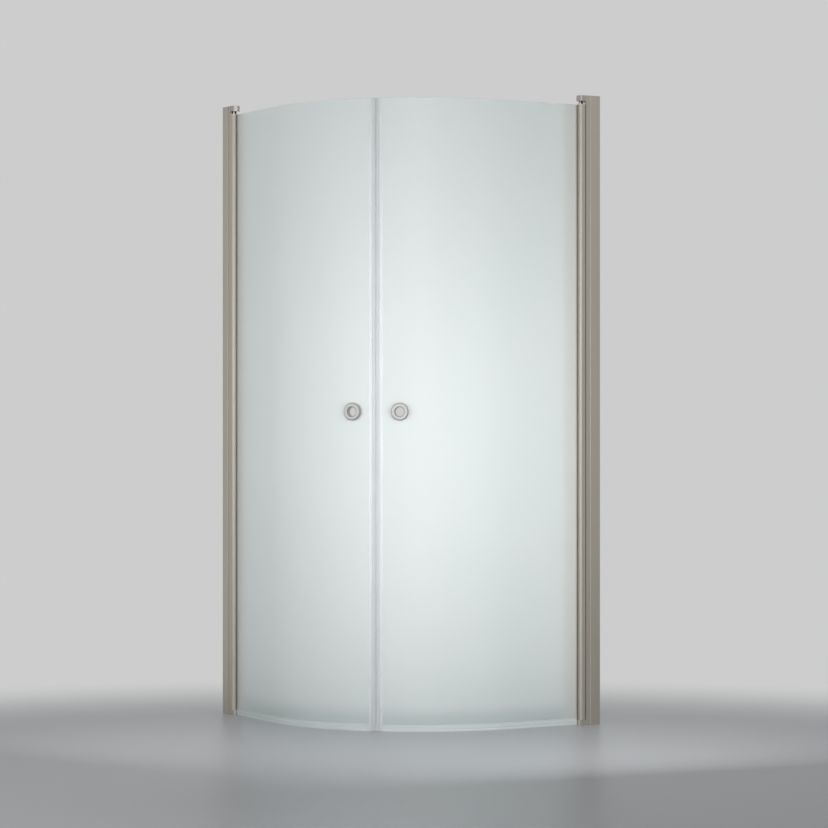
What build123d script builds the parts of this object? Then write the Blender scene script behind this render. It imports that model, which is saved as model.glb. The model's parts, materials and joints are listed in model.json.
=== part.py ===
from build123d import *
import os
from math import cos, degrees, pi, radians, sin

# Corner shower screen with two curved doors, in millimetres.
# The origin is the corner of the room at floor level, and Z is up.
# The left wall is the plane Y = 0 and the right wall is the plane X = 0.
# Every piece is drawn once in the side frame of the left wall: a is the distance
# out from the wall, b is the distance inwards from the profile's outer face, z is up.
# The right side is the left side mirrored in the diagonal plane through the corner.

# Overall
tray_side = 900.0
set_back = 4.5
height = 2000.0
corner_radius = 550.0
meeting_angle = 45.0

# Wall channel
channel_width = 20.0
channel_depth = 38.0
channel_wall = 1.5
channel_back = 2.0
channel_line_from_wall = 8.5
channel_line_width = 1.2
channel_line_depth = 0.5
wall_hole_r = 2.75
wall_hole_outer_inset = 100.0
wall_hole_inner_inset = 700.0
end_cap_height = 10.0
end_cap_wall = 1.5

# Adjustable post
slide_gap = 0.3
post_tuck = 24.0
post_show = 14.4
post_wall = 1.8
pivot_stand = 11.1
cradle_gap = 0.8

# Clamp screws through the channel's inner side into the post
clamp_screw_r = 2.0
clamp_head_r = 3.8
clamp_head_height = 2.2
clamp_head_round = 0.9
clamp_slot_width = 1.0
clamp_slot_depth = 0.9
clamp_screw_length = 8.0
clamp_inset = 150.0
clamp_from_edge = 10.0
screw_hole_gap = 0.15
screw_cap_r = 5.5
screw_cap_height = 3.4
screw_cap_wall = 1.0
screw_cap_round = 0.9

# Top and bottom blocks
top_block_height = 18.0
bottom_block_height = 16.0
tail_length = 22.0
tail_gap = 0.2
top_nose_r = 8.5
top_lobe_r = 9.5
top_lobe_ahead = 2.5
top_lobe_inwards = 9.0
bottom_nose_r = 10.4
bottom_nose_ahead = 4.9
block_edge_round = 0.8
block_screw_r = 1.5
block_screw_head_r = 2.8
block_screw_head_height = 1.8
block_screw_head_round = 0.7
block_screw_length = 7.0
block_screw_inset = 11.0
block_screw_from_channel = 5.5

# Hinge
lift_per_radian = 3.0
running_gap = 0.05
travel_gap = 0.3
pin_r = 4.0
tube_r = 12.5
bore_r = 7.3
bush_gap = 0.05
top_gap = 12.0
crown_base = 1.4
crown_tooth_height = 5.6
crown_teeth = 6
crown_tooth_angle = 30.0
crown_tooth_out_r = 11.6
crown_tooth_in_r = 8.9
crown_base_r = 12.3
sleeve_into_block = 1.9
sleeve_below_tube_top = 5.4
sleeve_gap = 0.3
pin_flange_r = 6.6
pin_flange_height = 2.2
top_bush_length = 32.0
pin_below_flange = 29.0
pin_head_side = 5.6
pin_head_gap = 0.1
block_roof = 1.0
cam_seat_depth = 4.0
cam_base = 1.5
cam_stop_angle = 4.0
cam_facets = 12
cam_sink = 0.4
follower_length = 24.0
bottom_pin_length = 66.0
bottom_pin_floor = 2.0
bottom_pin_chamfer = 0.8

# Door edge clamp of the hinge tube
jaw_inwards = 14.0
jaw_ahead = 15.0
jaw_behind = 4.0
jaw_round = 2.5
slot_ahead = 9.2
gasket_leg = 1.5
gasket_web = 1.2
gasket_lip_reach = 17.0
fit_gap = 0.05

# Glass
glass_thickness = 6.0
glass_inwards_of_pivot = 3.0
glass_above_block = 1.0
glass_edge_to_meeting = 12.0
gasket_above_block = 0.7

# Ring knobs
knob_height = 995.0
knob_to_meeting = 76.4
knob_r = 27.5
knob_hole_r = 14.5
knob_proud = 9.5
knob_outer_round = 3.5
knob_inner_round = 2.5
knob_collar_wall = 3.0
knob_glass_gap = 0.75
washer_r = 24.0
washer_thickness = 1.0
collar_into_inner_ring = 6.0

# Meeting seals with magnets
meeting_gap = 0.15
seal_width = 22.5
seal_skin = 1.0
chamber_length = 8.2
magnet_gap = 0.3
seal_above_floor = 3.0
seal_above_glass = 1.0
magnet_inset = 2.0

# Bottom sweeps
sweep_above_floor = 2.0
sweep_skin = 1.1
sweep_leg = 5.0
sweep_web = 2.6
sweep_inner_fin_drop = 3.0
sweep_start_ahead = 17.4

# Values that follow from the sizes above
outer_face = tray_side - set_back
post_half = channel_width / 2 - channel_wall - slide_gap
post_back = channel_depth - post_tuck
post_front = channel_depth + post_show
mid_b = channel_width / 2
pivot_a = post_front + pivot_stand
cradle_r = tube_r + cradle_gap
post_top = height - top_block_height
tube_bottom = bottom_block_height + travel_gap
tube_top = post_top - top_gap
door_lift = lift_per_radian * pi / 2
glass_b = mid_b + glass_inwards_of_pivot
glass_bottom = bottom_block_height + glass_above_block
glass_start = pivot_a + slot_ahead + gasket_web + 2 * fit_gap
bend_a = outer_face - glass_b - corner_radius
bend_b = glass_b + corner_radius
slot_b0 = glass_b - gasket_leg - 2 * fit_gap
slot_b1 = glass_b + glass_thickness + gasket_leg + 2 * fit_gap
tail_a0 = post_back + post_wall + tail_gap
tail_a1 = pivot_a - cradle_r - post_wall - tail_gap
tail_half = post_half - post_wall - tail_gap


# Small helpers in the side frame

def block(a0, a1, b0, b1, z0, z1):
    """A box between two values on each axis."""
    return Pos((a0 + a1) / 2, (b0 + b1) / 2, (z0 + z1) / 2) * Box(a1 - a0, b1 - b0, z1 - z0)


def upright(r, z0, z1, a=0.0, b=0.0):
    """A cylinder on the pivot, or moved from it by a and b."""
    return Pos(pivot_a + a, mid_b + b, (z0 + z1) / 2) * Cylinder(r, z1 - z0)


def along_a(r, a0, a1, b, z):
    """A cylinder that points out from the wall."""
    return Pos((a0 + a1) / 2, b, z) * Rot(0, 90, 0) * Cylinder(r, a1 - a0)


def along_b(r, b0, b1, a, z):
    """A cylinder that points inwards from the outer face."""
    return Pos(a, (b0 + b1) / 2, z) * Rot(90, 0, 0) * Cylinder(r, b1 - b0)


def raised(plan, z0, z1):
    """A plan carried from one height to another."""
    return Pos(0, 0, z0) * extrude(plan, z1 - z0, dir=(0, 0, 1))


def on_arc(r, angle):
    """The point at a radius and an angle round the bend, from the end of the straight part."""
    return (bend_a + r * sin(radians(angle)), bend_b - r * cos(radians(angle)))


def angle_before_meeting(length):
    """The bend angle that lies a length along the glass before the meeting line."""
    return meeting_angle - degrees(length / corner_radius)


def door_band(b0, thickness, start, end_gap):
    """Plan of a strip that follows the door, straight first and then round the bend."""
    r_out = bend_b - b0
    r_in = r_out - thickness
    end = angle_before_meeting(end_gap)
    edges = [
        Line((start, b0), on_arc(r_out, 0)),
        ThreePointArc(on_arc(r_out, 0), on_arc(r_out, end / 2), on_arc(r_out, end)),
        Line(on_arc(r_out, end), on_arc(r_in, end)),
        ThreePointArc(on_arc(r_in, end), on_arc(r_in, end / 2), on_arc(r_in, 0)),
        Line(on_arc(r_in, 0), (start, b0 + thickness)),
        Line((start, b0 + thickness), (start, b0)),
    ]
    return make_face(edges)


def arc_band(b0, thickness, near_gap, far_gap):
    """Plan of a short strip on the bend between two distances from the meeting line."""
    r_out = bend_b - b0
    r_in = r_out - thickness
    first = angle_before_meeting(far_gap)
    last = angle_before_meeting(near_gap)
    middle = (first + last) / 2
    edges = [
        ThreePointArc(on_arc(r_out, first), on_arc(r_out, middle), on_arc(r_out, last)),
        Line(on_arc(r_out, last), on_arc(r_in, last)),
        ThreePointArc(on_arc(r_in, last), on_arc(r_in, middle), on_arc(r_in, first)),
        Line(on_arc(r_in, first), on_arc(r_out, first)),
    ]
    return make_face(edges)


# Fixed pieces

def wall_channel():
    """U-shaped channel that is screwed to the wall, open towards the room."""
    shape = block(0, channel_depth, 0, channel_width, 0, height)
    shape -= block(
        channel_back, channel_depth, channel_wall, channel_width - channel_wall, 0, height
    )
    for inset in (wall_hole_outer_inset, wall_hole_inner_inset):
        for z in (inset, height - inset):
            shape -= along_a(wall_hole_r, 0, channel_back, mid_b, z)
    line_end = channel_line_from_wall + channel_line_width
    shape -= block(channel_line_from_wall, line_end, 0, channel_line_depth, 0, height)
    for z in clamp_heights():
        shape -= along_b(
            clamp_screw_r + screw_hole_gap, channel_width - channel_wall, channel_width, clamp_a(), z
        )
    return shape


def clamp_a():
    return channel_depth - clamp_from_edge


def clamp_heights():
    return (clamp_inset, height / 2, height - clamp_inset)


def channel_end_cap():
    """Plug that closes the channel's top behind the post."""
    b0 = channel_wall + fit_gap
    b1 = channel_width - channel_wall - fit_gap
    a0 = channel_back + fit_gap
    a1 = post_back - fit_gap
    shape = block(a0, a1, b0, b1, height - end_cap_height, height)
    shape -= block(
        a0 + end_cap_wall,
        a1 - end_cap_wall,
        b0 + end_cap_wall,
        b1 - end_cap_wall,
        height - end_cap_height,
        height - end_cap_wall,
    )
    return shape


def post_profile():
    """Hollow post that slides in the channel, with a hollow front in which the hinge tube turns."""
    z0 = bottom_block_height
    shape = block(post_back, post_front, mid_b - post_half, mid_b + post_half, z0, post_top)
    shape -= upright(cradle_r, z0, post_top)
    inner = post_half - post_wall
    shape -= block(
        post_back + post_wall,
        pivot_a - cradle_r - post_wall,
        mid_b - inner,
        mid_b + inner,
        z0,
        post_top,
    )
    for z in clamp_heights():
        shape -= along_b(
            clamp_screw_r + screw_hole_gap, mid_b + inner, mid_b + post_half, clamp_a(), z
        )
    for z in block_screw_heights():
        shape -= along_b(
            block_screw_r + screw_hole_gap, mid_b + inner, mid_b + post_half, block_screw_a(), z
        )
    return shape


def clamp_screws():
    """Pan-head screws that clamp the post in the channel."""
    screws = []
    for z in clamp_heights():
        head = along_b(
            clamp_head_r, channel_width, channel_width + clamp_head_height, clamp_a(), z
        )
        head = fillet(head.faces().sort_by(Axis.Y)[-1].edges(), clamp_head_round)
        slot = block(
            clamp_a() - clamp_head_r,
            clamp_a() + clamp_head_r,
            channel_width + clamp_head_height - clamp_slot_depth,
            channel_width + clamp_head_height,
            z - clamp_slot_width / 2,
            z + clamp_slot_width / 2,
        )
        shank = along_b(
            clamp_screw_r, channel_width - clamp_screw_length, channel_width, clamp_a(), z
        )
        screws.append(head - slot + shank)
    return screws


def screw_caps():
    """Push-on covers over the clamp screws."""
    caps = []
    for z in clamp_heights():
        cap = along_b(
            screw_cap_r, channel_width, channel_width + screw_cap_height, clamp_a(), z
        )
        cap = fillet(cap.faces().sort_by(Axis.Y)[-1].edges(), screw_cap_round)
        cap -= along_b(
            screw_cap_r - screw_cap_wall,
            channel_width,
            channel_width + screw_cap_height - screw_cap_wall,
            clamp_a(),
            z,
        )
        caps.append(cap)
    return caps


def block_screw_a():
    return channel_depth + block_screw_from_channel


def block_screw_heights():
    return (bottom_block_height + block_screw_inset, post_top - block_screw_inset)


def block_screws():
    """Small screws that hold the tails of the two blocks in the post."""
    face = mid_b + post_half
    screws = []
    for z in block_screw_heights():
        head = along_b(
            block_screw_head_r, face, face + block_screw_head_height, block_screw_a(), z
        )
        head = fillet(head.faces().sort_by(Axis.Y)[-1].edges(), block_screw_head_round)
        shank = along_b(block_screw_r, face - block_screw_length, face, block_screw_a(), z)
        screws.append(head + shank)
    return screws


def tail(z0, z1):
    """Part of a block that plugs into the hollow post, drilled for its screw."""
    shape = block(tail_a0, tail_a1, mid_b - tail_half, mid_b + tail_half, z0, z1)
    for z in block_screw_heights():
        shape -= along_b(
            block_screw_r + fit_gap,
            mid_b + post_half - block_screw_length - fit_gap,
            mid_b + post_half,
            block_screw_a(),
            z,
        )
    return shape


def top_nose_plan():
    """Outline of the top block's nose: flush outside, with a lobe towards the shower."""
    first = Pos(pivot_a, mid_b - post_half + top_nose_r) * Circle(top_nose_r)
    lobe = Pos(pivot_a + top_lobe_ahead, mid_b + top_lobe_inwards) * Circle(top_lobe_r)
    return make_hull(first.edges() + lobe.edges())


def top_block():
    """Block that closes the post's top and carries the upper pin."""
    arm = block(
        post_back, pivot_a, mid_b - post_half, mid_b + post_half, post_top, height
    )
    shape = arm + raised(top_nose_plan(), post_top, height)
    shape = fillet(shape.faces().sort_by(Axis.Z)[-1].edges(), block_edge_round)
    shape += tail(post_top - tail_length, post_top)
    seat = post_top + sleeve_into_block + fit_gap
    shape -= upright(bore_r - sleeve_gap + fit_gap, post_top, seat)
    side = pin_head_side + 2 * pin_head_gap
    shape -= block(
        pivot_a - side / 2,
        pivot_a + side / 2,
        mid_b - side / 2,
        mid_b + side / 2,
        seat,
        height - block_roof,
    )
    return shape


def bottom_block():
    """Block that stands on the tray under the post and holds the lower pin and the cam."""
    low = mid_b - post_half
    nose_a = pivot_a + bottom_nose_ahead
    shape = block(post_back, nose_a, low, mid_b + post_half, 0, bottom_block_height)
    shape += upright(
        bottom_nose_r, 0, bottom_block_height, a=bottom_nose_ahead, b=bottom_nose_r - post_half
    )
    shape += tail(bottom_block_height, bottom_block_height + tail_length)
    shape -= upright(
        bore_r - travel_gap + fit_gap,
        bottom_block_height - cam_seat_depth - fit_gap,
        bottom_block_height,
    )
    shape -= upright(pin_r + fit_gap, bottom_pin_floor - fit_gap, bottom_block_height)
    return shape


def bottom_pin():
    """Fixed lower pin that the door turns on."""
    shape = upright(pin_r, bottom_pin_floor, bottom_pin_floor + bottom_pin_length)
    return chamfer(shape.faces().sort_by(Axis.Z)[-1].edges(), bottom_pin_chamfer)


# Self-lifting cams

def ramp_height(angle):
    """Height of the fixed cam over its own zero, an angle after the start of a half turn."""
    return lift_per_radian * radians(180 - angle)


def cam_body(r_out, r_in, start, angles, low, high):
    """Ruled body round the origin whose low and high surfaces follow an angle."""
    sections = []
    for angle in angles:
        turn = radians(start + angle)
        corners = [
            (r_in, low(angle)),
            (r_out, low(angle)),
            (r_out, high(angle)),
            (r_in, high(angle)),
            (r_in, low(angle)),
        ]
        points = [(r * cos(turn), r * sin(turn), z) for r, z in corners]
        sections.append(make_face(Polyline(*points)))
    return loft(sections, ruled=True)


def cam_angles(first, last):
    """Evenly spaced angles between two angles."""
    return [first + (last - first) * i / cam_facets for i in range(cam_facets + 1)]


def lift_cam():
    """Fixed cam ring round the lower pin: the door climbs its ramps as it opens."""
    r_out = bore_r - travel_gap
    r_in = pin_r + 2 * fit_gap
    z0 = bottom_block_height - cam_seat_depth
    z1 = bottom_block_height + cam_base
    shape = upright(r_out, z0, z1) - upright(r_in, z0, z1)
    for start in (0, 180):
        ramp = cam_body(
            r_out, r_in, start, cam_angles(0, 180), lambda t: -cam_sink, lambda t: ramp_height(t)
        )
        shape += Pos(pivot_a, mid_b, z1) * ramp
    return shape


def cam_follower():
    """Ring in the tube's foot whose teeth ride on the fixed cam and carry the door."""
    r_out = bore_r - bush_gap
    r_in = pin_r + running_gap
    zero = bottom_block_height + cam_base
    ring_z0 = zero + ramp_height(0) + travel_gap
    shape = upright(r_out, ring_z0, ring_z0 + follower_length)
    shape -= upright(r_in, ring_z0, ring_z0 + follower_length)
    for start in (0, 180):
        tooth = cam_body(
            r_out,
            r_in,
            start,
            cam_angles(cam_stop_angle, 180 - cam_stop_angle),
            lambda t: ramp_height(t) + travel_gap,
            lambda t: ramp_height(0) + travel_gap + cam_sink,
        )
        shape += Pos(pivot_a, mid_b, zero) * tooth
    return shape


# Upper pin, sleeve and bush

def flange_z():
    return tube_top - sleeve_below_tube_top - door_lift - travel_gap - pin_flange_height


def top_sleeve():
    """Dark sleeve under the top block round the upper pin."""
    z0 = tube_top - sleeve_below_tube_top
    z1 = post_top + sleeve_into_block
    return upright(bore_r - sleeve_gap, z0, z1) - upright(pin_r + running_gap, z0, z1)


def top_pin():
    """Upper pin: its square head slides up in the top block as the door lifts."""
    z0 = flange_z()
    head_z0 = post_top + sleeve_into_block - door_lift - travel_gap
    head_z1 = height - block_roof - door_lift - travel_gap
    shape = upright(pin_r, z0 - pin_below_flange, head_z0)
    shape += upright(pin_flange_r, z0, z0 + pin_flange_height)
    half = pin_head_side / 2
    shape += block(
        pivot_a - half, pivot_a + half, mid_b - half, mid_b + half, head_z0, head_z1
    )
    return shape


def top_bush():
    """Bush in the tube's head that turns on the upper pin."""
    z1 = flange_z() - travel_gap
    z0 = z1 - top_bush_length
    return upright(bore_r - bush_gap, z0, z1) - upright(pin_r + running_gap, z0, z1)


def top_crown():
    """Toothed ring on the head of the hinge tube."""
    z0 = tube_top
    z1 = z0 + crown_base
    shape = upright(crown_base_r, z0, z1) - upright(bore_r + fit_gap, z0, z1)
    tooth_ring = Circle(crown_tooth_out_r) - Circle(crown_tooth_in_r)
    step = 360.0 / crown_teeth
    half = crown_tooth_angle / 2
    reach = 2 * crown_tooth_out_r
    side = reach * sin(radians(half))
    wedge = make_face(
        Polyline((0, 0), (reach * cos(radians(half)), -side), (reach * cos(radians(half)), side), (0, 0))
    )
    for i in range(crown_teeth):
        tooth = tooth_ring & (Rot(0, 0, step * (i + 0.5)) * wedge)
        shape += Pos(pivot_a, mid_b, 0) * raised(tooth, z0, z1 + crown_tooth_height)
    return shape


# Door pieces

def hinge_tube():
    """Round door stile with a clamp for the glass edge on its inner side."""
    jaw_a0 = pivot_a - jaw_behind
    jaw_a1 = pivot_a + jaw_ahead
    jaw_b1 = mid_b + jaw_inwards
    jaw = Pos((jaw_a0 + jaw_a1) / 2, (slot_b0 + jaw_b1) / 2) * Rectangle(
        jaw_a1 - jaw_a0, jaw_b1 - slot_b0
    )
    corners = jaw.vertices().group_by(Axis.Y)[-1]
    plan = Pos(pivot_a, mid_b) * Circle(tube_r) + fillet(corners, jaw_round)
    plan -= Pos(pivot_a, mid_b) * Circle(bore_r)
    slot_a0 = pivot_a + slot_ahead
    slot_a1 = pivot_a + gasket_lip_reach
    plan -= Pos((slot_a0 + slot_a1) / 2, (slot_b0 + slot_b1) / 2) * Rectangle(
        slot_a1 - slot_a0, slot_b1 - slot_b0
    )
    return raised(plan, tube_bottom, tube_top)


def glass_gasket():
    """Dark channel gasket round the glass edge, with lips that show beside the tube."""
    a0 = pivot_a + slot_ahead + fit_gap
    a1 = pivot_a + gasket_lip_reach
    z0 = bottom_block_height + gasket_above_block
    shape = block(a0, a1, slot_b0 + fit_gap, slot_b1 - fit_gap, z0, tube_top)
    shape -= block(
        glass_start - fit_gap,
        a1,
        glass_b - fit_gap,
        glass_b + glass_thickness + fit_gap,
        z0,
        tube_top,
    )
    return shape


def knob_frame():
    """Plane on the outer face of the glass at the knob, with Z pointing out of the door."""
    angle = angle_before_meeting(knob_to_meeting)
    a, b = on_arc(corner_radius, angle)
    t = radians(angle)
    return Plane(origin=(a, b, knob_height), x_dir=(cos(t), sin(t), 0), z_dir=(sin(t), -cos(t), 0))


def glass():
    """Curved satin glass pane, drilled for the ring knob."""
    plan = door_band(glass_b, glass_thickness, glass_start, glass_edge_to_meeting)
    shape = raised(plan, glass_bottom, tube_top)
    hole_r = knob_hole_r + knob_collar_wall + knob_glass_gap
    hole = rim(hole_r, -glass_thickness - knob_proud, knob_proud)
    return shape - knob_frame().location * hole


def rim(r, z0, z1):
    """Cylinder on the knob's axis."""
    return Pos(0, 0, (z0 + z1) / 2) * Cylinder(r, z1 - z0)


def inner_seat():
    """Depth of the flat inner washer, past the hollow inner face of the glass."""
    hollow = washer_r ** 2 / (2 * (corner_radius - glass_thickness))
    return -glass_thickness - hollow - fit_gap


def knob_outer_ring():
    """Outer finger ring with the collar that passes through the glass."""
    back = washer_thickness + 2 * fit_gap
    shape = rim(knob_r, back, back + knob_proud) - rim(knob_hole_r, back, back + knob_proud)
    front = shape.faces().sort_by(Axis.Z)[-1].edges().sort_by(SortBy.RADIUS)
    shape = fillet(front[-1], knob_outer_round)
    front = shape.faces().sort_by(Axis.Z)[-1].edges().sort_by(SortBy.RADIUS)
    shape = fillet(front[0], knob_inner_round)
    inner_back = inner_seat() - washer_thickness - fit_gap
    collar_end = inner_back - collar_into_inner_ring
    collar_r = knob_hole_r + knob_collar_wall
    shape += rim(collar_r, collar_end, back) - rim(knob_hole_r, collar_end, back)
    return knob_frame().location * shape


def knob_inner_ring():
    """Inner finger ring that screws on the collar."""
    back = inner_seat() - washer_thickness - fit_gap
    face = back - knob_proud
    shape = rim(knob_r, face, back) - rim(knob_hole_r, face, back)
    front = shape.faces().sort_by(Axis.Z)[0].edges().sort_by(SortBy.RADIUS)
    shape = fillet(front[-1], knob_outer_round)
    front = shape.faces().sort_by(Axis.Z)[0].edges().sort_by(SortBy.RADIUS)
    shape = fillet(front[0], knob_inner_round)
    seat = back - collar_into_inner_ring - fit_gap
    shape -= rim(knob_hole_r + knob_collar_wall + fit_gap, seat, back)
    return knob_frame().location * shape


def knob_washers():
    """Clear washers between the rings and the glass."""
    hole_r = knob_hole_r + knob_collar_wall + fit_gap
    outside = rim(washer_r, fit_gap, fit_gap + washer_thickness)
    outside -= rim(hole_r, fit_gap, fit_gap + washer_thickness)
    seat = inner_seat()
    inside = rim(washer_r, seat - washer_thickness, seat) - rim(hole_r, seat - washer_thickness, seat)
    return [knob_frame().location * outside, knob_frame().location * inside]


def seal_outer_b():
    return glass_b - seal_skin - fit_gap


def magnet_seal():
    """Clear profile clipped on the meeting edge of the glass, with a chamber for the magnet."""
    z0 = seal_above_floor
    z1 = tube_top + seal_above_glass
    b0 = seal_outer_b()
    thickness = glass_thickness + 2 * (seal_skin + fit_gap)
    shape = raised(arc_band(b0, thickness, meeting_gap, seal_width), z0, z1)
    chamber = arc_band(
        b0 + seal_skin, thickness - 2 * seal_skin, meeting_gap + seal_skin, seal_skin + chamber_length
    )
    shape -= raised(chamber, z0, z1)
    clip = arc_band(
        glass_b - fit_gap, glass_thickness + 2 * fit_gap, glass_edge_to_meeting - fit_gap, seal_width
    )
    shape -= raised(clip, z0, z1)
    return shape


def magnet_strip():
    """Magnet strip inside the chamber of the seal."""
    near = meeting_gap + seal_skin + magnet_gap
    far = seal_skin + chamber_length - magnet_gap
    b0 = seal_outer_b() + seal_skin + magnet_gap
    thickness = glass_thickness + 2 * fit_gap - 2 * magnet_gap
    z0 = seal_above_floor + magnet_inset
    z1 = tube_top + seal_above_glass - magnet_inset
    return raised(arc_band(b0, thickness, near, far), z0, z1)


def bottom_sweep():
    """Clear strip clipped on the glass's lower edge that wipes the tray."""
    start = pivot_a + sweep_start_ahead
    end = seal_width + 2 * fit_gap
    outer_b = glass_b - sweep_skin - fit_gap
    inner_b = glass_b + glass_thickness + fit_gap
    thickness = glass_thickness + 2 * (sweep_skin + fit_gap)
    web_z1 = glass_bottom - fit_gap
    web_z0 = web_z1 - sweep_web
    leg_z1 = glass_bottom + sweep_leg
    shape = raised(door_band(outer_b, sweep_skin, start, end), sweep_above_floor, leg_z1)
    shape += raised(door_band(outer_b, thickness, start, end), web_z0, web_z1)
    fin_z0 = sweep_above_floor + sweep_inner_fin_drop
    shape += raised(door_band(inner_b, sweep_skin, start, end), fin_z0, leg_z1)
    return shape


# Placing and writing

left_place = Location((-outer_face, 0, 0), (0, 0, -90))
diagonal = Plane(origin=(0, 0, 0), z_dir=(1, -1, 0))


def as_list(piece):
    if isinstance(piece, list):
        return piece
    return [piece]


def write(name, piece):
    """Write the left piece and its mirror image for the right side."""
    left = [left_place * item for item in as_list(piece)]
    right = [mirror(item, about=diagonal) for item in left]
    for side, items in (("left", left), ("right", right)):
        solids = [solid for item in items for solid in item.solids()]
        shape = solids[0]
        if len(solids) > 1:
            shape = Compound(children=solids)
        export_step(shape, "parts/" + side + "_" + name + ".step")


os.makedirs("parts", exist_ok=True)

pieces = {
    "wall_channel": wall_channel,
    "channel_end_cap": channel_end_cap,
    "post_profile": post_profile,
    "clamp_screws": clamp_screws,
    "screw_caps": screw_caps,
    "block_screws": block_screws,
    "top_block": top_block,
    "top_sleeve": top_sleeve,
    "bottom_block": bottom_block,
    "bottom_pin": bottom_pin,
    "lift_cam": lift_cam,
    "top_pin": top_pin,
    "top_bush": top_bush,
    "top_crown": top_crown,
    "cam_follower": cam_follower,
    "hinge_tube": hinge_tube,
    "glass_gasket": glass_gasket,
    "glass": glass,
    "knob_outer_ring": knob_outer_ring,
    "knob_inner_ring": knob_inner_ring,
    "knob_washers": knob_washers,
    "magnet_seal": magnet_seal,
    "magnet_strip": magnet_strip,
    "bottom_sweep": bottom_sweep,
}

for piece_name, make in pieces.items():
    write(piece_name, make())
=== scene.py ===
import bmesh
import bpy
import json
import numpy as np
from math import pi, radians
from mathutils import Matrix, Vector

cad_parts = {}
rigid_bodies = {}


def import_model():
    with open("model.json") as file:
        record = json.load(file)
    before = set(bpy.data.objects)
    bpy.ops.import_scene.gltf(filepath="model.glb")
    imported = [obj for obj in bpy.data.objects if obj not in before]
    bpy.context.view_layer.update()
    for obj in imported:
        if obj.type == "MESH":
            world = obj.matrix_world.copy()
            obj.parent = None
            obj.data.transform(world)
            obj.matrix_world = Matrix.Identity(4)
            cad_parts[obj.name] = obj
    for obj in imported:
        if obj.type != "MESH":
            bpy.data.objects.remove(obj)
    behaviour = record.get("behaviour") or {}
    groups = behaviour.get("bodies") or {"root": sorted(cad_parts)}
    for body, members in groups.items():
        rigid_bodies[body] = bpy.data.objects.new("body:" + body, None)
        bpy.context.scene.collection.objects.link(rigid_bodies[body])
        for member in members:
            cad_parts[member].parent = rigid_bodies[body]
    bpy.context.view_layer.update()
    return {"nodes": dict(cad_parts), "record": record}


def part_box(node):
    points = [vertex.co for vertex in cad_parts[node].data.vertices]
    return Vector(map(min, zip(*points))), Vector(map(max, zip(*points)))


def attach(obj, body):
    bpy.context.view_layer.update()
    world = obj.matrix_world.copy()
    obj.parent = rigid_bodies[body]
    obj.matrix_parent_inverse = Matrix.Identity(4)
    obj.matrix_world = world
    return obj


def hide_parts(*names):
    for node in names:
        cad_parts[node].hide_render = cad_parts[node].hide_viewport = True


# Corner shower screen: extruded profiles, curved satin panes, clear seals and ring pulls.
# Sizes are in millimetres in the side frame of the left wall: a is the distance out from the wall,
# b is the distance inwards from the profile's outer face, and z is up. The right side is the left
# side mirrored in the diagonal plane through the corner of the room. FIT is the gap between pieces
# that touch, PAST is how far a cut runs past a face, and OVERLAP is how far joined shapes share.

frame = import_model()
MM = 0.001
FIT = 0.05
PAST = 1.0
OVERLAP = 0.5


def cad(node):
    """Lowest and highest corner of a left node in the side frame, as (a, b, z) in millimetres."""
    low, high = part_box("left_" + node)
    return (
        np.array((-high.y, low.x - face_x, low.z)) / MM,
        np.array((-low.y, high.x - face_x, high.z)) / MM,
    )


face_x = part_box("left_wall_channel")[0].x
OUTER = -face_x / MM

channel = cad("wall_channel")
post = cad("post_profile")
block_top = cad("top_block")
block_foot = cad("bottom_block")
tube = cad("hinge_tube")
gasket = cad("glass_gasket")
pane = cad("glass")
seal = cad("magnet_seal")
magnet = cad("magnet_strip")
sweep = cad("bottom_sweep")
crown = cad("top_crown")
sleeve = cad("top_sleeve")
plug = cad("channel_end_cap")
covers = cad("screw_caps")

# Channel and post
HEIGHT = channel[1][2]
CHANNEL_WIDTH = channel[1][1]
CHANNEL_DEPTH = channel[1][0]
CHANNEL_WALL = 1.5
CHANNEL_BACK = 2.0
CHANNEL_LEAD = 1.3
LINE_FROM_WALL = 8.5
LINE_WIDTH = 1.2
LINE_DEPTH = 0.5
WALL_HOLE_R = 2.75
WALL_HOLE_INSETS = (100.0, 700.0)
POST_WALL = 1.8
CRADLE_GAP = 1.6
CRADLE_STEPS = 18
PLUG_WALL = 1.5
PLUG_CORNER = PLUG_WALL + 0.3
PLUG_ROUND = 0.7
COVER_ROUND = 0.9
COVER_DOME = 0.35
COVER_EDGE_DROP = 1.2
COVER_WALL = 1.0
COVER_ROOF = 1.3

# Hinge
MID_B = CHANNEL_WIDTH / 2
POST_HALF = (post[1][1] - post[0][1]) / 2
TUBE_R = MID_B - tube[0][1]
PIVOT_A = tube[0][0] + TUBE_R
BORE_R = 7.3
PIN_R = 4.0
CRADLE_R = TUBE_R + CRADLE_GAP
JAW_BEHIND = 4.0
JAW_ROUND = 2.5
SLOT_AHEAD = 9.2
SLOT_GAP = 0.05
OUTER_LIP = 1.2
RUBBER_PROUD = 1.1
GASKET_WEB = 1.2
CROWN_BASE = 2.2
CROWN_TEETH = 6
CROWN_TOOTH_ANGLE = 24.0
CROWN_TOOTH_R = (8.9, 11.6)
SLEEVE_IN_BORE = 0.3
SLEEVE_R = (PIN_R + FIT, BORE_R - SLEEVE_IN_BORE)
COLLAR_ABOVE_CROWN = 7.1
COLLAR_R = 8.6
RIB_R = (8.2, 8.78)
RIB_ANGLE = 18.0
RIB_ABOVE_COLLAR = 0.2

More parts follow.
